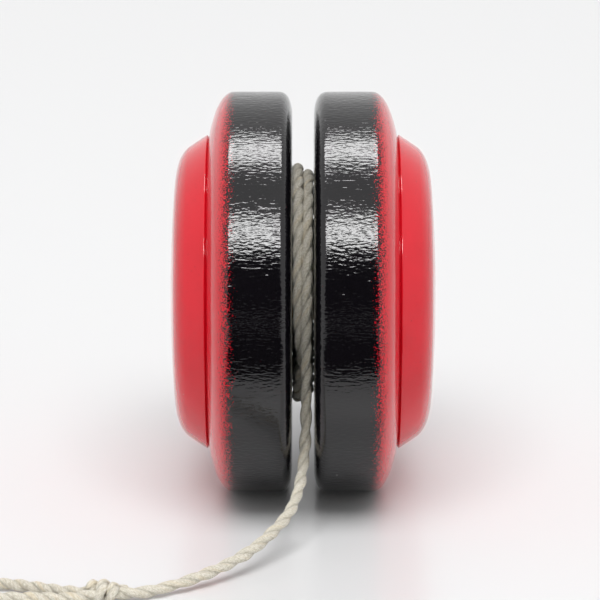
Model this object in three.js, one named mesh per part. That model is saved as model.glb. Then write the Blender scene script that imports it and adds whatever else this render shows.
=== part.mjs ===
// A turned wooden yo-yo with its string wound on, standing on its two rims.
// Two hardwood halves are glued onto the ends of a plain dowel axle. A twisted cotton string
// loops round the axle, is wound up in the gap, leaves it at the front, runs down to the floor
// and ends in a knotted finger loop.
// Millimetres. +X runs along the axle, +Z is up, and the floor is z = 0. The origin is the
// point of the floor midway between the two rims.
import * as THREE from "three";

// ---- Driving dimensions ----

const RIM_RADIUS = 28.575; // a standard yo-yo, 2 1/4 inches across
const HALF_WIDTH = 18.6; // from the middle of the gap to the outer face of a half
const GAP = 3.1; // between the two inner faces, where the string winds
const AXLE_RADIUS = 4; // an 8 mm dowel
const AXLE_DEPTH = 10; // how far the dowel is glued into each half
const STRING_DIAMETER = 1.5; // two plies twisted together
const PLY_DIAMETER = 0.8; // one ply, where the string opens into its axle loop
const WINDING_RADIUS = 17.6; // over the outermost turn
const WINDING_RISE = 1.05; // the turns lie looser over the top, so the middle sits high

const GLUE_LINE = 0.1; // round the dowel and at its ends
const CLEARANCE = 0.3; // between the string and whatever it lies against

// ---- How finely round shapes are cut ----

const TURNING_STEPS = 48; // facets round each turned piece
const STRING_SIDES = 8;
const STRING_STEP = 2.2 * STRING_DIAMETER; // along a free stretch of string

// Each rim stands on one facet, so the axle is as high as that facet's middle is below it.
const AXLE_HEIGHT = RIM_RADIUS * Math.cos(Math.PI / TURNING_STEPS);
const INNER_FACE = GAP / 2;

// ---- Materials ----

const finish = (color, roughness) =>
  new THREE.MeshStandardMaterial({ color, roughness, metalness: 0 });
const redEnamel = finish(0xd42a3c, 0.2);
const bareWood = finish(0xd9b98a, 0.65);
const cotton = finish(0xd3ccb4, 0.95);

// ---- Helpers ----

const group = new THREE.Group();

function add(name, geometry, material) {
  const mesh = new THREE.Mesh(geometry, material);
  mesh.name = name;
  group.add(mesh);
  return mesh;
}

// A profile of [distance along the axle, radius] points, turned round the axle. A lathe turns
// its profile about +Y, so the result is laid over until that axis is +X.
function turned(profile) {
  const halfStep = Math.PI / TURNING_STEPS; // turns the middle of a facet to the bottom
  const points = profile.map(([along, radius]) => new THREE.Vector2(radius, along));
  return new THREE.LatheGeometry(points, TURNING_STEPS, halfStep)
    .rotateZ(-Math.PI / 2)
    .translate(0, 0, AXLE_HEIGHT);
}

// The rounded lip of a profile, from the inner face out to the tread. A roundness of 2 is an
// ellipse's quarter, and a larger one comes nearer to a square corner.
function lipCurve({ along, radial, roundness }, steps) {
  return Array.from({ length: steps + 1 }, (_, step) => {
    const angle = (Math.PI / 2) * (step / steps);
    const inward = Math.pow(Math.cos(angle), 2 / roundness);
    const outward = Math.pow(Math.sin(angle), 2 / roundness);
    return [INNER_FACE + along * (1 - inward), RIM_RADIUS - radial * (1 - outward)];
  });
}

// A quadratic curve through part of a profile, from start to end, drawn towards pull.
function eased(start, pull, end, steps) {
  const curve = new THREE.QuadraticBezierCurve(
    new THREE.Vector2(...start),
    new THREE.Vector2(...pull),
    new THREE.Vector2(...end),
  );
  return curve.getPoints(steps).map((point) => [point.x, point.y]);
}

// ---- The two halves ----

// One half, from the bottom of its axle hole out across the inner face, over the rim, and in
// across the raised hub to the middle of the outer face.
function halfProfile() {
  const holeRadius = AXLE_RADIUS + GLUE_LINE;
  const holeBottom = INNER_FACE + AXLE_DEPTH + GLUE_LINE;
  const lip = { along: 2.1, radial: 3.9, roundness: 2.6 }; // from inner face to tread
  const treadEnd = 9.8; // the rim stands on the flat from the lip to here
  const shoulder = { pull: 11.9, at: 13.2, radius: 23.1 }; // outer edge, to a crisp corner
  const quirk = { at: 13.35, radius: 22.35 }; // the small step between shoulder and hub
  const band = { end: 14.1, radius: 22.5 }; // the plain band at the foot of the hub
  const cheek = { at: 16.3, radius: 20.6 }; // where the hub's side starts to turn in
  const crown = { at: HALF_WIDTH - 0.45, radius: 16 };
  const centre = { at: HALF_WIDTH - 0.1, radius: 12.5 };
  const flatRadius = 9; // the flat in the middle of the outer face
  return [
    [holeBottom, 0],
    [holeBottom, holeRadius],
    [INNER_FACE, holeRadius],
    ...lipCurve(lip, 6),
    ...eased(
      [treadEnd, RIM_RADIUS],
      [shoulder.pull, RIM_RADIUS],
      [shoulder.at, shoulder.radius],
      7,
    ),
    [quirk.at, quirk.radius],
    [band.end, band.radius],
    ...eased(
      [cheek.at, cheek.radius],
      [HALF_WIDTH - 0.7, 19.2],
      [crown.at, crown.radius],
      5,
    ),
    [centre.at, centre.radius],
    [HALF_WIDTH, flatRadius],
    [HALF_WIDTH, 0],
  ];
}

function addHalves() {
  const right = turned(halfProfile());
  add("right_half", right, redEnamel);
  add("left_half", right.clone().rotateZ(Math.PI), redEnamel);
}

// ---- The axle ----

function addAxle() {
  const end = INNER_FACE + AXLE_DEPTH;
  const chamfer = 0.6;
  const dowel = turned([
    [-end, 0],
    [-end, AXLE_RADIUS - chamfer],
    [-end + chamfer, AXLE_RADIUS],
    [end - chamfer, AXLE_RADIUS],
    [end, AXLE_RADIUS - chamfer],
    [end, 0],
  ]);
  add("axle_dowel", dowel, bareWood);
}

// ---- The string ----

// A ring of rectangular section round the axle.
function ring(innerRadius, outerRadius, width) {
  return turned([
    [-width / 2, innerRadius],
    [-width / 2, outerRadius],
    [width / 2, outerRadius],
    [width / 2, innerRadius],
    [-width / 2, innerRadius],
  ]);
}

// The single ply that sits round the axle, and the turns of string wound over it.
function addWoundString() {
  const loopInner = AXLE_RADIUS + CLEARANCE;
  const loopOuter = loopInner + PLY_DIAMETER;
  add("axle_loop", ring(loopInner, loopOuter, PLY_DIAMETER), cotton);
  const width = GAP - 2 * CLEARANCE;
  const innerRadius = loopOuter + WINDING_RISE + CLEARANCE;
  const winding = ring(innerRadius, WINDING_RADIUS, width);
  add("string_winding", winding, cotton).position.z = WINDING_RISE;
}

// A free stretch of string along a route of [x, y, z] points.
function stretch(route) {
  const curve = new THREE.CatmullRomCurve3(
    route.map((point) => new THREE.Vector3(...point)),
    false,
    "centripetal",
  );
  const section = new THREE.Shape(
    Array.from({ length: STRING_SIDES }, (_, side) => {
      const angle = (2 * Math.PI * (side + 0.5)) / STRING_SIDES;
      const corner = new THREE.Vector2(Math.cos(angle), Math.sin(angle));
      return corner.multiplyScalar(STRING_DIAMETER / 2);
    }),
  );
  const steps = Math.ceil(curve.getLength() / STRING_STEP);
  return new THREE.ExtrudeGeometry(section, { steps, extrudePath: curve });
}

// From the front of the winding down out of the gap, forwards onto the floor and to the knot.
const LEAD_ROUTE = [
  [0.43, -17.15, 21.3],
  [0.42, -17.2, 18.8],
  [0.41, -17.4, 15.85],
  [0.35, -17.9, 12.95],
  [0.18, -19.1, 10.4],
  [-0.16, -21.4, 8.3],
  [-0.76, -25.2, 6.75],
  [-2, -29.8, 5.35],
  [-4.25, -34.1, 4.1],
  [-6.9, -38.1, 3.1],
  [-10.2, -41.7, 2.3],
  [-13.6, -44.6, 1.75],
  [-17.3, -47, 1.3],
  [-20.6, -48.7, 1.05],
  [-23.6, -49.7, 1.2],
];

// Out of the knot, round the finger loop and back into the knot.
const LOOP_ROUTE = [
  [-29.3, -49, 1.1],
  [-32, -48.2, 0.8],
  [-35, -46.9, 0.8],
  [-38.5, -45.8, 0.8],
  [-43, -44.9, 0.8],
  [-48, -44.4, 0.8],
  [-53, -44.7, 0.8],
  [-57.5, -46, 0.8],
  [-60.6, -48.3, 0.8],
  [-61.4, -51.1, 0.8],
  [-59.6, -53.6, 0.8],
  [-55.8, -54.7, 0.8],
  [-51, -54.1, 0.8],
  [-46, -52.3, 0.8],
  [-41, -50.9, 0.8],
  [-36, -50.8, 0.8],
  [-32, -51, 0.8],
  [-29.3, -50.9, 1.1],
];

// The knot is a round plug, flattened where it lies, whose flat ends meet the string.
const KNOT = { at: [-26.45, -49.9, 1.5], length: 5, width: 3.8, height: 2.8, edge: 0.6 };

function knotPlug() {
  const end = KNOT.length / 2;
  const radius = KNOT.width / 2;
  const profile = [
    [0, -end],
    [radius - KNOT.edge, -end],
    [radius, -end + KNOT.edge],
    [radius, end - KNOT.edge],
    [radius - KNOT.edge, end],
    [0, end],
  ];
  const points = profile.map((point) => new THREE.Vector2(...point));
  return new THREE.LatheGeometry(points, 16)
    .rotateZ(-Math.PI / 2)
    .scale(1, 1, KNOT.height / KNOT.width);
}

function addFreeString() {
  add("string_lead", stretch(LEAD_ROUTE), cotton);
  add("finger_loop", stretch(LOOP_ROUTE), cotton);
  add("finger_knot", knotPlug(), cotton).position.set(...KNOT.at);
}

addHalves();
addAxle();
addWoundString();
addFreeString();

export default group;
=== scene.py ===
"""A turned wooden yo-yo standing on its rims on a pale floor, with its twisted string wound in
the gap, led out in front and ending in a knotted finger loop.

Lengths are in metres. +X runs along the axle, +Z is up and the floor is z = 0."""
import math

import bmesh
import bpy
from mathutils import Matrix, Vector, noise


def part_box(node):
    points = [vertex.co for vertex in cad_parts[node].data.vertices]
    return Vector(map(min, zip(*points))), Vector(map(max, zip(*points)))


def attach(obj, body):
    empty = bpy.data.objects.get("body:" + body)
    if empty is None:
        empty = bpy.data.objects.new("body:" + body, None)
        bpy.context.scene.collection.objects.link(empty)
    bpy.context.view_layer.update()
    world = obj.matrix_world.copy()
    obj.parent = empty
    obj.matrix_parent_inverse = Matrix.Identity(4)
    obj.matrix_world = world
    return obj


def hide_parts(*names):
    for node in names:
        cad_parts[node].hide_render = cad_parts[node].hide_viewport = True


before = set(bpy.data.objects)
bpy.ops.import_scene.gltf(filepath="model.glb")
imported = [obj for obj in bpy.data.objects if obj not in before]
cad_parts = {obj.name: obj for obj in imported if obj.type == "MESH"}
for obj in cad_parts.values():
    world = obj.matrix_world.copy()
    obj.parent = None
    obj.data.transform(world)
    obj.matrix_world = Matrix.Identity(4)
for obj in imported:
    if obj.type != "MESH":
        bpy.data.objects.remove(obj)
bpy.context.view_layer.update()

MM = 0.001

# ---- Sizes taken from the frame ----

HALF_LOW, HALF_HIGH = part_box("right_half")
RIM_RADIUS = (HALF_HIGH[2] - HALF_LOW[2]) / 2
INNER_FACE = HALF_LOW[0]
HALF_WIDTH = HALF_HIGH[0]
AXLE = Vector((0, 0, (HALF_LOW[2] + HALF_HIGH[2]) / 2))
DOWEL_LOW, DOWEL_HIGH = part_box("axle_dowel")
AXLE_RADIUS = (DOWEL_HIGH[2] - DOWEL_LOW[2]) / 2
KNOT_LOW, KNOT_HIGH = (Vector(corner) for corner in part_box("finger_knot"))
KNOT = (KNOT_LOW + KNOT_HIGH) / 2

# ---- The camera ----

CAMERA_ELEVATION = math.radians(16)
CAMERA_DISTANCE = 540 * MM
FRAME_WIDTH = 85.7 * MM  # what the picture takes in at that distance
SENSOR_WIDTH = 36  # in millimetres, as is the lens
AIM_LEFT = 0.43 * MM  # how far the picture's middle is to the left of the axle's
AIM_BELOW = 1.21 * MM  # and how far below it


def add_camera():
    """Looks straight along the gap from the front, a little from above."""
    away = Vector((0, -math.cos(CAMERA_ELEVATION), math.sin(CAMERA_ELEVATION)))
    up = Vector((0, math.sin(CAMERA_ELEVATION), math.cos(CAMERA_ELEVATION)))
    target = AXLE - Vector((AIM_LEFT, 0, 0)) - up * AIM_BELOW
    data = bpy.data.cameras.new("camera")
    data.sensor_width = SENSOR_WIDTH
    data.lens = SENSOR_WIDTH * CAMERA_DISTANCE / FRAME_WIDTH
    data.clip_start = 10 * MM
    camera = bpy.data.objects.new("camera", data)
    camera.location = target + away * CAMERA_DISTANCE
    camera.rotation_euler = away.to_track_quat("Z", "Y").to_euler()
    bpy.context.scene.collection.objects.link(camera)
    bpy.context.scene.camera = camera


# ---- Material helpers ----


def new_material(name):
    """A material, and the shader that it starts with."""
    material = bpy.data.materials.new(name)
    material.use_nodes = True
    return material, material.node_tree.nodes["Principled BSDF"]


def node(material, kind, inputs=(), output=0, **settings):
    """Adds a shader node, sets or links its inputs by name or number, and returns one output.
    material can be a world, which has a node tree too."""
    tree = material.node_tree
    made = tree.nodes.new("ShaderNode" + kind)
    for key, value in settings.items():
        setattr(made, key, value)
    for key, value in dict(inputs).items():
        if isinstance(value, bpy.types.NodeSocket):
            tree.links.new(value, made.inputs[key])
        else:
            made.inputs[key].default_value = value
    return made.outputs[output]


def connect(material, shader, **sockets):
    """Links outputs to a shader's inputs, whose names are written with _ for a space."""
    for key, value in sockets.items():
        material.node_tree.links.new(value, shader.inputs[key.replace("_", " ")])


def fade(material, value, start, end, low=0.0, high=1.0, easing="SMOOTHSTEP"):
    """low where value is at start, high where it is at end, and eased between."""
    inputs = {"Value": value, "From Min": start, "From Max": end, "To Min": low, "To Max": high}
    return node(material, "MapRange", inputs, interpolation_type=easing)


def arithmetic(material, operation, a, b=0.0):
    return node(material, "Math", {0: a, 1: b}, operation=operation)


def mixed(material, factor, a, b):
    """Colour a where factor is 0, and b where it is 1."""
    inputs = {"Factor": factor, 6: a, 7: b}  # the inputs A and B that hold colours
    return node(material, "Mix", inputs, output=2, data_type="RGBA")


def grain(material, position, stretch, scale, detail=2.0, roughness=0.5):
    """Noise whose features are about 1 / scale across, and stretch times that along x."""
    narrowed = node(
        material, "VectorMath", {0: position, 1: (1 / stretch, 1, 1)}, operation="MULTIPLY"
    )
    inputs = {"Vector": narrowed, "Scale": scale, "Detail": detail, "Roughness": roughness}
    return node(material, "TexNoise", inputs)


def components(material, vector):
    """The x, y and z of a vector."""
    return node(material, "SeparateXYZ", {0: vector}).node.outputs[:]


def relief(material, height, depth, over=None):
    """A bump as deep as depth, laid over another bump if one is given."""
    inputs = {"Height": height, "Distance": depth}
    if over is not None:
        inputs["Normal"] = over
    return node(material, "Bump", inputs)


# ---- Materials ----

RED = (0.69, 0.008, 0.022, 1)
DEEP_RED = (0.57, 0.005, 0.015, 1)
BLACK = (0.0035, 0.003, 0.004, 1)
DUST = (0.28, 0.26, 0.25, 1)
MAPLE_DARK = (0.52, 0.34, 0.17, 1)
MAPLE_PALE = (0.72, 0.53, 0.31, 1)
MAPLE_FIBRE = (0.43, 0.27, 0.13, 1)
COTTON_DARK = (0.60, 0.55, 0.43, 1)
COTTON_PALE = (0.88, 0.84, 0.74, 1)
COTTON_TINT = (0.80, 0.66, 0.42, 1)
# painted shade: the colour that darkens the grooves between the plies
PAINTED_GROOVE_SHADE = (0.30, 0.26, 0.18, 1)


def sprayed_black(material, position, across, radius):
    """1 where the sprayed black covers the red, broken up into droplets along its edges."""
    solid_to, last_droplet = 8.6 * MM, 12.3 * MM  # across, on the shoulder
    bare_to, solid_from = 5 * MM, 9 * MM  # radius, on the inner face
    outside = fade(material, across, last_droplet, solid_to, easing="LINEAR")
    inside = fade(material, radius, bare_to, solid_from, easing="LINEAR")
    cover = arithmetic(material, "MULTIPLY", outside, inside)
    droplets = grain(material, position, 1.2, 5600, detail=2, roughness=0.6)
    lowest, highest, softness = 0.27, 0.82, 0.04  # of the noise, and of a droplet's edge
    limit = fade(material, cover, 0, 1, lowest, highest, easing="LINEAR")
    over = arithmetic(material, "SUBTRACT", limit, droplets)
    return fade(material, over, -softness, softness)


def enamel():
    """Glossy red enamel on turned wood, the rim sprayed black, with the grain telling through."""
    material, shader = new_material("enamel_on_wood")
    position = node(material, "TexCoord", output="Object")
    x, y, z = components(material, position)
    across = arithmetic(material, "ABSOLUTE", x)
    height = arithmetic(material, "SUBTRACT", z, AXLE.z)
    spoke = node(material, "CombineXYZ", {1: y, 2: height})
    radius = node(material, "VectorMath", {0: spoke}, output=1, operation="LENGTH")

    black = sprayed_black(material, position, across, radius)
    depth_of_coat = grain(material, position, 1, 160, detail=1)
    red = mixed(material, depth_of_coat, DEEP_RED, RED)
    paint = mixed(material, black, red, BLACK)

    specks = node(material, "TexVoronoi", {"Vector": position, "Scale": 420.0}, feature="F1")
    chosen = node(material, "SeparateColor", {0: specks.node.outputs["Color"]})
    rare = fade(material, chosen, 0.93, 0.97)
    dot = fade(material, specks, 0.055, 0.035)
    dust = arithmetic(material, "MULTIPLY", rare, dot)
    connect(material, shader, Base_Color=mixed(material, dust, paint, DUST))

    on_rim = fade(material, across, 12.8 * MM, 9.5 * MM, low=0.06)
    ripple = grain(material, position, 2.6, 2900, detail=2, roughness=0.4)
    rippled = relief(material, arithmetic(material, "MULTIPLY", ripple, on_rim), 0.06 * MM)
    pores = grain(material, position, 9, 1900, detail=1)
    patches = fade(material, grain(material, position, 1, 130, detail=1), 0.55, 0.68)
    open_pores = arithmetic(material, "MULTIPLY", fade(material, pores, 0.6, 0.72), patches)
    sunk = arithmetic(material, "MULTIPLY", open_pores, on_rim)
    pitted = relief(material, sunk, -0.02 * MM, over=rippled)
    swell = grain(material, position, 2, 240, detail=1)
    connect(material, shader, Normal=relief(material, swell, 0.03 * MM, over=pitted))

    smears = grain(material, position, 1, 300, detail=3)
    connect(material, shader, Roughness=fade(material, smears, 0.3, 0.8, 0.06, 0.12))
    shader.inputs["IOR"].default_value = 1.5
    return material


def bare_wood():
    """Unfinished maple, its grain along the axle."""
    material, shader = new_material("bare_maple")
    position = node(material, "TexCoord", output="Object")
    fibres = grain(material, position, 14, 2400, detail=3)
    rings = grain(material, position, 20, 500, detail=1)
    tone = mixed(material, rings, MAPLE_DARK, MAPLE_PALE)
    colour = mixed(material, fade(material, fibres, 0.35, 0.75), tone, MAPLE_FIBRE)
    connect(material, shader, Base_Color=colour, Normal=relief(material, fibres, 0.02 * MM))
    shader.inputs["Roughness"].default_value = 0.62
    return material


def cotton():
    """Undyed cotton, its fibres running along the string, with painted shade darkening the grooves
    between its plies.
    """
    material, shader = new_material("twisted_cotton")
    place = node(material, "UVMap", uv_map="strand")
    along, round_it, _ = components(material, place)
    turn = arithmetic(material, "MULTIPLY", round_it, 2 * math.pi)
    cosine, sine = (arithmetic(material, kind, turn) for kind in ("COSINE", "SINE"))
    wrapped = node(material, "CombineXYZ", {0: along, 1: cosine, 2: sine})
    fibres = grain(material, wrapped, 1.8, 6.5, detail=3, roughness=0.6)
    lint = grain(material, wrapped, 1.0, 11, detail=2)
    slubs = grain(material, wrapped, 6, 0.9, detail=1)
    pale = mixed(material, fade(material, fibres, 0.36, 0.64), COTTON_DARK, COTTON_PALE)
    tinted = fade(material, slubs, 0.5, 0.75, high=0.4)
    thread = mixed(material, tinted, pale, COTTON_TINT)
    # Painted shade: where the plies meet, the colour is darkened a quarter of the way towards the
    # groove shade colour.
    on_ply = fade(material, arithmetic(material, "ABSOLUTE", cosine), 0.02, 0.5)
    shaded_groove = mixed(material, on_ply, PAINTED_GROOVE_SHADE, thread)
    colour = mixed(material, 0.25, thread, shaded_groove)
    creased = relief(material, on_ply, 0.11 * MM)
    fibrous = relief(material, fibres, 0.16 * MM, over=creased)
    linty = relief(material, lint, 0.05 * MM, over=fibrous)
    connect(material, shader, Base_Color=colour, Normal=linty)
    shader.inputs["Roughness"].default_value = 0.9
    shader.inputs["Sheen Weight"].default_value = 0.35
    shader.inputs["Sheen Roughness"].default_value = 0.4
    shader.inputs["Specular IOR Level"].default_value = 0.2
    return material


def floor_acrylic():
    """A smooth white sheet that mirrors softly at a low angle."""
    material, shader = new_material("floor")
    shader.inputs["Base Color"].default_value = (0.77, 0.77, 0.775, 1)
    shader.inputs["Roughness"].default_value = 0.28
    return material


# ---- Mesh helpers ----


def add_mesh(name, vertices, faces, material, uvs=()):
    """A smooth-shaded object. uvs, if given, holds one pair for each corner of each face."""
    mesh = bpy.data.meshes.new(name)
    mesh.from_pydata(vertices, [], faces)
    if uvs:
        layer = mesh.uv_layers.new(name="strand")
        layer.data.foreach_set("uv", [value for uv in uvs for value in uv])
    else:
        turning = bmesh.new()
        turning.from_mesh(mesh)
        bmesh.ops.recalc_face_normals(turning, faces=turning.faces)
        turning.to_mesh(mesh)
        turning.free()
    mesh.shade_smooth()
    mesh.materials.append(material)
    piece = bpy.data.objects.new(name, mesh)
    bpy.context.scene.collection.objects.link(piece)
    return piece


def smoothstep(low, high, value):
    """0 where value is low, 1 where it is high, and eased between."""
    t = min(1, max(0, (value - low) / (high - low)))
    return t * t * (3 - 2 * t)


def catmull_rom(points, step):
    """The centripetal curve through points, with a point about every step along it."""
    points = [Vector(p) for p in points]
    ends = [2 * points[0] - points[1], *points, 2 * points[-1] - points[-2]]
    line = []
    for a, b, c, d in zip(ends, ends[1:], ends[2:], ends[3:]):
        first = 0
        second = first + math.sqrt((b - a).length)
        third = second + math.sqrt((c - b).length)
        last = third + math.sqrt((d - c).length)
        count = max(1, round((c - b).length / step))
        for i in range(count):
            t = second + (third - second) * i / count
            ab = a.lerp(b, (t - first) / (second - first))
            bc = b.lerp(c, (t - second) / (third - second))
            cd = c.lerp(d, (t - third) / (last - third))
            early = ab.lerp(bc, (t - first) / (third - first))
            late = bc.lerp(cd, (t - second) / (last - second))
            line.append(early.lerp(late, (t - second) / (third - second)))
    return [*line, points[-1]]


def length_of(line):
    return sum((b - a).length for a, b in zip(line, line[1:]))


def evenly(line, step):
    """The line again, with its points the same distance apart, about step."""
    count = max(2, round(length_of(line) / step))
    spacing = length_of(line) / count
    out, reached = [line[0]], 0
    for a, b in zip(line, line[1:]):
        length = (b - a).length
        while len(out) < count and spacing * len(out) <= reached + length:
            out.append(a.lerp(b, (spacing * len(out) - reached) / length))
        reached += length
    return [*out, line[-1]]


def turned(name, outline, material, side=1, steps=256, closed=False):
    """outline's (distance along the axle, radius) points turned round the axle."""
    vertices, rings = [], []
    for across, radius in outline:
        centre = AXLE + Vector((side * across, 0, 0))
        if radius == 0:
            rings.append([len(vertices)] * steps)
            vertices.append(centre)
            continue
        rings.append(range(len(vertices), len(vertices) + steps))
        for i in range(steps):
            angle = 2 * math.pi * i / steps
            spoke = Vector((0, math.sin(angle), -math.cos(angle))) * radius
            vertices.append(centre + spoke)
    pairs = list(zip(rings, rings[1:]))
    if closed:
        pairs.append((rings[-1], rings[0]))
    faces = []
    for low, high in pairs:
        for i in range(steps):
            j = (i + 1) % steps
            corners = dict.fromkeys((low[i], high[i], high[j], low[j]))
            faces.append(tuple(corners))
    return add_mesh(name, vertices, faces, material)


# ---- The two halves ----

CORNER_STEPS = 6  # along each softened corner

# In millimetres, as (distance along the axle, radius).
TREAD_MIDDLE = 6.8
TREAD_END = 9.8
SHOULDER_PULL = 11.9
SHOULDER_CORNER = (13.2, 23.1)
STEP_BOTTOM = (13.3, 21.95)
HUB_FOOT = (13.6, 22.4)
HUB_BEND = (15.2, 21.35)
CHEEK_START = (16.3, 20.6)
CHEEK_PULL = (0.7, 19.2)  # from here on the first number is the distance in from the outer face
CHEEK_END = (0.45, 16)
CROWN_PULL = (0.15, 12.2)
CROWN_FLAT_RADIUS = 9
HOLE_CLEARANCE = 0.15  # between the hole and the dowel, for glue


def bezier(start, pull, end, steps):
    """A quadratic curve, as outline points with no softening."""
    start, pull, end = Vector(start), Vector(pull), Vector(end)
    at = [i / steps for i in range(steps + 1)]
    return [(*start.lerp(pull, t).lerp(pull.lerp(end, t), t), 0) for t in at]


def softened(outline):
    """Rounds each corner of an outline from its third number's distance before it to after it."""
    out = []
    for i, (across, radius, cut) in enumerate(outline):
        if not cut:
            out.append((across, radius))
            continue
        here = Vector((across, radius))
        start = here + (Vector(outline[i - 1][:2]) - here).normalized() * cut
        end = here + (Vector(outline[i + 1][:2]) - here).normalized() * cut
        out += [point[:2] for point in bezier(start, here, end, CORNER_STEPS)]
    return out


def lip_outline(rim, inner):
    """The rounded edge from the inner face up to the tread, a quarter of a squarish ellipse."""
    along, radial, roundness, steps = 2.1, 3.9, 2.6, 28
    lip = []
    for i in range(steps + 1):
        angle = math.pi / 2 * i / steps
        across = inner + along * (1 - math.cos(angle) ** (2 / roundness))
        lip.append((across, rim - radial * (1 - math.sin(angle) ** (2 / roundness)), 0))
    return lip


def half_outline():
    """From the bottom of the axle hole out over the rim and in across the hub, in millimetres.
    The third number is how far from the corner its softening starts."""
    rim, inner, outer = RIM_RADIUS / MM, INNER_FACE / MM, HALF_WIDTH / MM
    hole_radius = AXLE_RADIUS / MM + HOLE_CLEARANCE
    hole_bottom = DOWEL_HIGH[0] / MM + HOLE_CLEARANCE
    cheek_pull, cheek_end, crown_pull = (
        (outer - inset, radius) for inset, radius in (CHEEK_PULL, CHEEK_END, CROWN_PULL)
    )
    shoulder = bezier((TREAD_END, rim), (SHOULDER_PULL, rim), SHOULDER_CORNER, 22)
    cheek = bezier(CHEEK_START, cheek_pull, cheek_end, 16)
    crown = bezier(cheek_end, crown_pull, (outer, CROWN_FLAT_RADIUS), 8)
    return [
        (hole_bottom, 0, 0),
        (hole_bottom, hole_radius, 0.1),
        (inner, hole_radius, 0.25),
        (inner, 12, 0),
        (inner, 20, 0),
        *lip_outline(rim, inner),
        (TREAD_MIDDLE, rim, 0),
        *shoulder[:-1],
        (*SHOULDER_CORNER, 0.22),
        (*STEP_BOTTOM, 0.1),
        (*HUB_FOOT, 0.12),
        (*HUB_BEND, 0),
        *cheek[:-1],
        *crown,
        (outer, 6, 0),
        (outer, 3, 0),
        (outer, 0, 0),
    ]


def add_halves(paint):
    outline = [(across * MM, radius * MM) for across, radius in softened(half_outline())]
    for name, side in (("left_half", -1), ("right_half", 1)):
        piece = turned(name + "_turned", outline, paint, side)
        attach(piece, "yoyo")
        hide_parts(name)


# ---- The string ----

STRING_LAY = 6.6 * MM  # one full turn of the two plies round each other
LOOP_LAY = 4.8 * MM  # the string twists up harder in the finger loop
PLY_RADIUS = 0.6 * MM
PLY_OFFSET = 0.22 * MM  # from the string's middle to the middle of a ply
STRING_SIDES = 20
STRING_STEP = 0.4 * MM  # from one ring of the string to the next
THICK_AND_THIN = 0.1  # how much the string's thickness wavers, as a part of it
WAVER_LENGTH = 2.3 * MM


def strand(line, lay, phase=0.0):
    """The surface of a two-ply string along a line: vertices, faces, and a pair of numbers for
    each corner of each face: the distance along in millimetres, and the part of a turn round
    from the middle of a ply."""
    line = evenly(line, STRING_STEP)
    vertices, rings = [], []  # a ring is its first vertex, its place along and its twist in turns
    sideways = (line[1] - line[0]).orthogonal().normalized()
    along = 0.0
    for i, centre in enumerate(line):
        before, after = line[max(i - 1, 0)], line[min(i + 1, len(line) - 1)]
        tangent = (after - before).normalized()
        sideways = (sideways - tangent * sideways.dot(tangent)).normalized()
        across = tangent.cross(sideways)
        along += (centre - before).length
        twist = phase + 2 * math.pi * along / lay
        waver = noise.noise(Vector((along / WAVER_LENGTH, phase, 0.5)))
        size = 1 + THICK_AND_THIN * waver
        rings.append((len(vertices), along / MM, twist / (2 * math.pi)))
        for k in range(STRING_SIDES):
            turn = 2 * math.pi * k / STRING_SIDES
            from_ply = turn - twist
            reach = PLY_OFFSET * abs(math.cos(from_ply)) + math.sqrt(
                PLY_RADIUS**2 - (PLY_OFFSET * math.sin(from_ply)) ** 2
            )
            spoke = sideways * math.cos(turn) + across * math.sin(turn)
            vertices.append(centre + spoke * reach * size)
    faces, uvs = [], []
    side = 1 / STRING_SIDES
    for (low, start, first), (high, end, last) in zip(rings, rings[1:]):
        for k in range(STRING_SIDES):
            j = (k + 1) % STRING_SIDES
            faces.append((low + k, low + j, high + j, high + k))
            uvs += [(start, k * side - first), (start, (k + 1) * side - first)]
            uvs += [(end, (k + 1) * side - last), (end, k * side - last)]
    for (low, along, twist), step in ((rings[0], -1), (rings[-1], 1)):
        cap = list(range(STRING_SIDES))[::step]
        faces.append(tuple(low + k for k in cap))
        uvs += [(along, k * side - twist) for k in cap]
    return line, vertices, faces, uvs


def add_string(name, lines, material, lay=STRING_LAY):
    """One piece made of the strands along several lines. Returns it and its first line."""
    vertices, faces, uvs, path = [], [], [], None
    for number, line in enumerate(lines):
        centres, more, cells, pairs = strand(line, lay, phase=1.3 * number)
        path = path or centres
        faces += [tuple(len(vertices) + corner for corner in cell) for cell in cells]
        vertices += more
        uvs += pairs
    piece = add_mesh(name, vertices, faces, material, uvs)
    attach(piece, "string")
    return piece, path


# The turns lie two abreast. They are counted back from where the string leaves them.
TURNS = 12.6
LANE = 0.73 * MM  # from the middle of the gap to the middle of a lane
FIRST_RADIUS = 15.72 * MM
TURN_RISE = 0.75 * MM  # how much further out each turn lies than the one before it
LEFT_RISE = 1.9 * MM  # how much higher the left lane is stacked than the right
SLACK = 1.3 * MM  # how much the turns stand off over the top, and hug the axle below
CROSSING = 0.07  # of a turn below the front, where the string changes lanes
CROSSING_SPREAD = 0.1
LAST_QUARTER = 0.25  # of a turn, in which the string leaves its lane for the lead
LEAVING_RISE = 1.42 * MM
LEAVING_SHIFT = 0.41  # of the lane's distance from the middle
UNEVENNESS = 0.12 * MM
POINTS_PER_TURN = 32


def lane_side(turns_back):
    """1 in the right-hand lane, -1 in the left-hand one, and between them at a crossing."""
    place = turns_back + CROSSING
    crossing = math.floor(place + 0.5)
    changed = smoothstep(-CROSSING_SPREAD, CROSSING_SPREAD, place - crossing)
    before = 1 if crossing % 2 else -1
    return before * (1 - 2 * changed)


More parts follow.
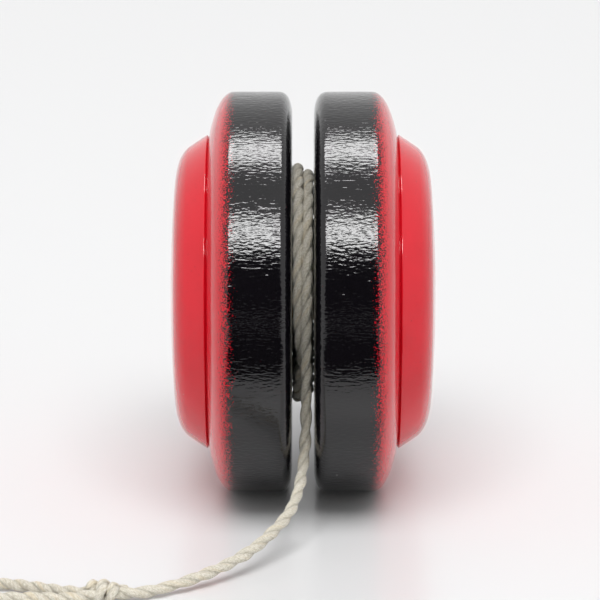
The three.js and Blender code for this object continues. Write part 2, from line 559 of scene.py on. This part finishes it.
def winding_point(turns_back):
    """Where the string is, that many turns before it leaves the winding."""
    side = lane_side(turns_back)
    outward = 1 - turns_back / TURNS
    angle = 2 * math.pi * turns_back  # from the front, up over the top
    leaving = 1 - smoothstep(0, LAST_QUARTER, turns_back)
    radius = FIRST_RADIUS - TURN_RISE * turns_back + LEFT_RISE / 2 * (1 - side) * outward
    radius += SLACK * outward * math.sin(angle) + LEAVING_RISE * leaving
    radius += UNEVENNESS * noise.noise(Vector((turns_back * 3.1, 0.3, 0.7)))
    across = side * LANE * (1 - LEAVING_SHIFT * leaving)
    return AXLE + Vector((across, -radius * math.cos(angle), radius * math.sin(angle)))


# From the front of the winding down out of the gap, forwards onto the floor and to the knot.
LEAD_ROUTE = [
    (0.43, -17.15, 21.3),
    (0.42, -17.2, 18.8),
    (0.41, -17.4, 15.85),
    (0.35, -17.9, 12.95),
    (0.18, -19.1, 10.4),
    (-0.16, -21.4, 8.3),
    (-0.76, -25.2, 6.75),
    (-2, -29.8, 5.35),
    (-4.25, -34.1, 4.1),
    (-6.9, -38.1, 3.1),
    (-10.2, -41.7, 2.3),
    (-13.6, -44.6, 1.75),
    (-17.3, -47, 1.3),
    (-20.6, -48.7, 1.05),
    (-23.6, -49.7, 1.2),
]

# Out of the knot, round the finger loop and back into the knot.
LOOP_ROUTE = [
    (-29.3, -49, 1.1),
    (-32, -48.2, 0.8),
    (-35, -46.9, 0.8),
    (-38.5, -45.8, 0.8),
    (-43, -44.9, 0.8),
    (-48, -44.4, 0.8),
    (-53, -44.7, 0.8),
    (-57.5, -46, 0.8),
    (-60.6, -48.3, 0.8),
    (-61.4, -51.1, 0.8),
    (-59.6, -53.6, 0.8),
    (-55.8, -54.7, 0.8),
    (-51, -54.1, 0.8),
    (-46, -52.3, 0.8),
    (-41, -50.9, 0.8),
    (-36, -50.8, 0.8),
    (-32, -51, 0.8),
    (-29.3, -50.9, 1.1),
]


LYING_HEIGHT = 0.95  # of the twisted string's middle over the floor, in millimetres


def laid(route):
    """The route in metres, with its lowest points raised to where the twisted string lies."""
    return [Vector((x, y, max(z, LYING_HEIGHT))) * MM for x, y, z in route]


def add_yoyo_string(thread):
    """The turns in the gap and the free lead, one unbroken string from the axle to the knot."""
    count = math.ceil(TURNS * POINTS_PER_TURN)
    wound = [winding_point(TURNS * (1 - i / count)) for i in range(count + 1)]
    line = catmull_rom([*wound, *laid(LEAD_ROUTE), KNOT], STRING_STEP)
    piece, path = add_string("yoyo_string", [line], thread)
    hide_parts("string_winding", "string_lead")
    return piece, path


def add_finger_loop(thread):
    """The string from the knot round the finger loop and back, both ends inside the knot."""
    apart = Vector((0, 0.5 * MM, 0))
    ends = [KNOT + apart, KNOT - apart]
    line = catmull_rom([ends[0], *laid(LOOP_ROUTE), ends[1]], STRING_STEP)
    piece, path = add_string("finger_loop_string", [line], thread, LOOP_LAY)
    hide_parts("finger_loop")
    return piece, path


def add_knot(thread):
    """An overhand knot pulled tight: its wraps round the strands, and the trimmed tag end."""
    turns, half_length, first_angle, steps = 2.3, 1.75 * MM, 0.6, 60
    wrap_radius, tucked_radius, flattening = 1.12 * MM, 0.3 * MM, 0.78
    wraps = []
    for i in range(steps + 1):
        t = i / steps
        angle = 2 * math.pi * turns * t + first_angle
        tucked = smoothstep(0, 0.14, t) * smoothstep(1, 0.86, t)
        radius = tucked_radius + (wrap_radius - tucked_radius) * tucked
        across = half_length * (1 - 2 * t)
        up = radius * math.sin(angle) * flattening
        wraps.append(KNOT + Vector((across, radius * math.cos(angle), up)))
    tag = [
        KNOT + Vector((0.5, 0.6, -0.2)) * MM,
        KNOT + Vector((1.9, 1, -0.3)) * MM,
        KNOT + Vector((3, 1.6, -0.4)) * MM,
    ]
    lines = [catmull_rom(wraps, STRING_STEP), catmull_rom(tag, STRING_STEP)]
    piece, _ = add_string("string_knot", lines, thread, LOOP_LAY)
    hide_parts("finger_knot")
    return piece


def add_axle_loop(thread):
    """The single ply that goes once round the dowel, where the string's two plies part."""
    clearance, sides = 0.15 * MM, 12
    middle = AXLE_RADIUS + clearance + PLY_RADIUS
    section = []
    for i in range(sides):
        angle = 2 * math.pi * i / sides
        across = PLY_RADIUS * math.cos(angle)
        section.append((across, middle + PLY_RADIUS * math.sin(angle)))
    piece = turned("axle_loop_ply", section, thread, steps=96, closed=True)
    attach(piece, "string")
    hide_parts("axle_loop")


# ---- Floor, light and surroundings ----

FLOOR_RADIUS = 2.5
WORLD_SEEN = 0.98  # the world's strength as it is seen
WORLD_DIFFUSE = 0.52  # and as it lights diffuse surfaces
DARK_WITHIN = math.radians(35)  # of -Y, the camera's side
BRIGHT_FROM = math.radians(41)


def from_front(elevation, distance):
    """A point straight before, above or behind the axle, elevation degrees up from the front."""
    angle = math.radians(elevation)
    return AXLE + Vector((0, -math.cos(angle), math.sin(angle))) * distance


def add_area_light(name, elevation, distance, size, power, diffuse=True, glossy=True):
    """A soft light facing the axle. It lights only matt or only glossy surfaces if asked to."""
    data = bpy.data.lights.new(name, "AREA")
    data.shape = "RECTANGLE"
    data.size, data.size_y = size
    data.energy = power
    light = bpy.data.objects.new(name, data)
    light.visible_diffuse = diffuse
    light.visible_glossy = glossy
    light.visible_camera = False
    light.location = from_front(elevation, distance)
    light.rotation_euler = (light.location - AXLE).to_track_quat("Z", "Y").to_euler()
    bpy.context.scene.collection.objects.link(light)


def add_painted_shade_sheet(near, far, half_width):
    """A near-black sheet of painted shade above the floor on the camera's side. Glossy surfaces
    above it show it as a painted reflection of shade, and nothing else shows it: the floor under it
    sees through it."""
    # Painted shade: a near-black sheet that only glossy rays see, standing in for the unlit side
    # towards the camera.
    material, shader = new_material("painted_shade_sheet")
    shader.inputs["Base Color"].default_value = (0.002, 0.002, 0.002, 1)
    shader.inputs["Specular IOR Level"].default_value = 0
    shader.inputs["Roughness"].default_value = 1
    below = node(material, "NewGeometry", output="Backfacing")
    clear = node(material, "BsdfTransparent")
    both = node(material, "MixShader", {0: below, 1: shader.outputs[0], 2: clear})
    tree = material.node_tree
    tree.links.new(both, tree.nodes["Material Output"].inputs["Surface"])
    height = 0.3 * MM
    corners = [
        (-half_width, far, height),
        (half_width, far, height),
        (half_width, near, height),
        (-half_width, near, height),
    ]
    mesh = bpy.data.meshes.new("painted_shade_sheet")
    mesh.from_pydata(corners, [], [(0, 1, 2, 3)])
    mesh.materials.append(material)
    ground = bpy.data.objects.new("painted_shade_sheet", mesh)
    bpy.context.scene.collection.objects.link(ground)
    ground.visible_camera = ground.visible_diffuse = ground.visible_shadow = False


def add_world():
    """White all round but for a dark part on the camera's side, which only glossy surfaces show.
    It lights diffuse surfaces less strongly than it looks."""
    world = bpy.data.worlds.new("surroundings")
    world.use_nodes = True
    background = world.node_tree.nodes["Background"]
    background.inputs["Color"].default_value = (1, 1, 1, 1)
    direction = node(world, "TexCoord", output="Generated")
    to_back = node(world, "SeparateXYZ", {0: direction}, output="Y")
    dark, bright = -math.cos(DARK_WITHIN), -math.cos(BRIGHT_FROM)
    mirrored = fade(world, to_back, dark, bright, 0, WORLD_SEEN)
    glossy = node(world, "LightPath", output="Is Glossy Ray")
    diffuse = node(world, "LightPath", output="Is Diffuse Ray")
    seen = fade(world, glossy, 0, 1, WORLD_SEEN, mirrored)
    strength = fade(world, diffuse, 0, 1, seen, WORLD_DIFFUSE)
    world.node_tree.links.new(strength, background.inputs["Strength"])
    bpy.context.scene.world = world


def add_floor():
    steps = 96
    edge = []
    for i in range(steps):
        angle = 2 * math.pi * i / steps
        edge.append((FLOOR_RADIUS * math.cos(angle), FLOOR_RADIUS * math.sin(angle), 0))
    mesh = bpy.data.meshes.new("floor")
    mesh.from_pydata(edge, [], [tuple(range(steps))])
    mesh.materials.append(floor_acrylic())
    floor = bpy.data.objects.new("floor", mesh)
    bpy.context.scene.collection.objects.link(floor)


def add_stage():
    """The floor, the world and the lights. The two strips make the bands of light on the rims."""
    add_floor()
    add_world()
    add_area_light("high_softbox", 64, 2.2, (1.8, 1.2), 42, glossy=False)
    add_area_light("overhead_strip", 102, 0.9, (0.8, 0.24), 8, diffuse=False)
    add_area_light("front_strip", 49, 0.9, (0.8, 0.19), 8, diffuse=False)
    # a sheet of painted shade that shows only in reflections
    add_painted_shade_sheet(near=-64 * MM, far=-600 * MM, half_width=70 * MM)
    bpy.context.scene.view_settings.view_transform = "Standard"


# ---- Everything, cords and camera first ----


def main():
    add_camera()
    thread = cotton()
    string, string_path = add_yoyo_string(thread)
    loop, loop_path = add_finger_loop(thread)
    knot = add_knot(thread)
    add_axle_loop(thread)
    add_halves(enamel())
    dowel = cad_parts["axle_dowel"]
    dowel.data.materials.clear()
    dowel.data.materials.append(bare_wood())
    add_stage()


main()
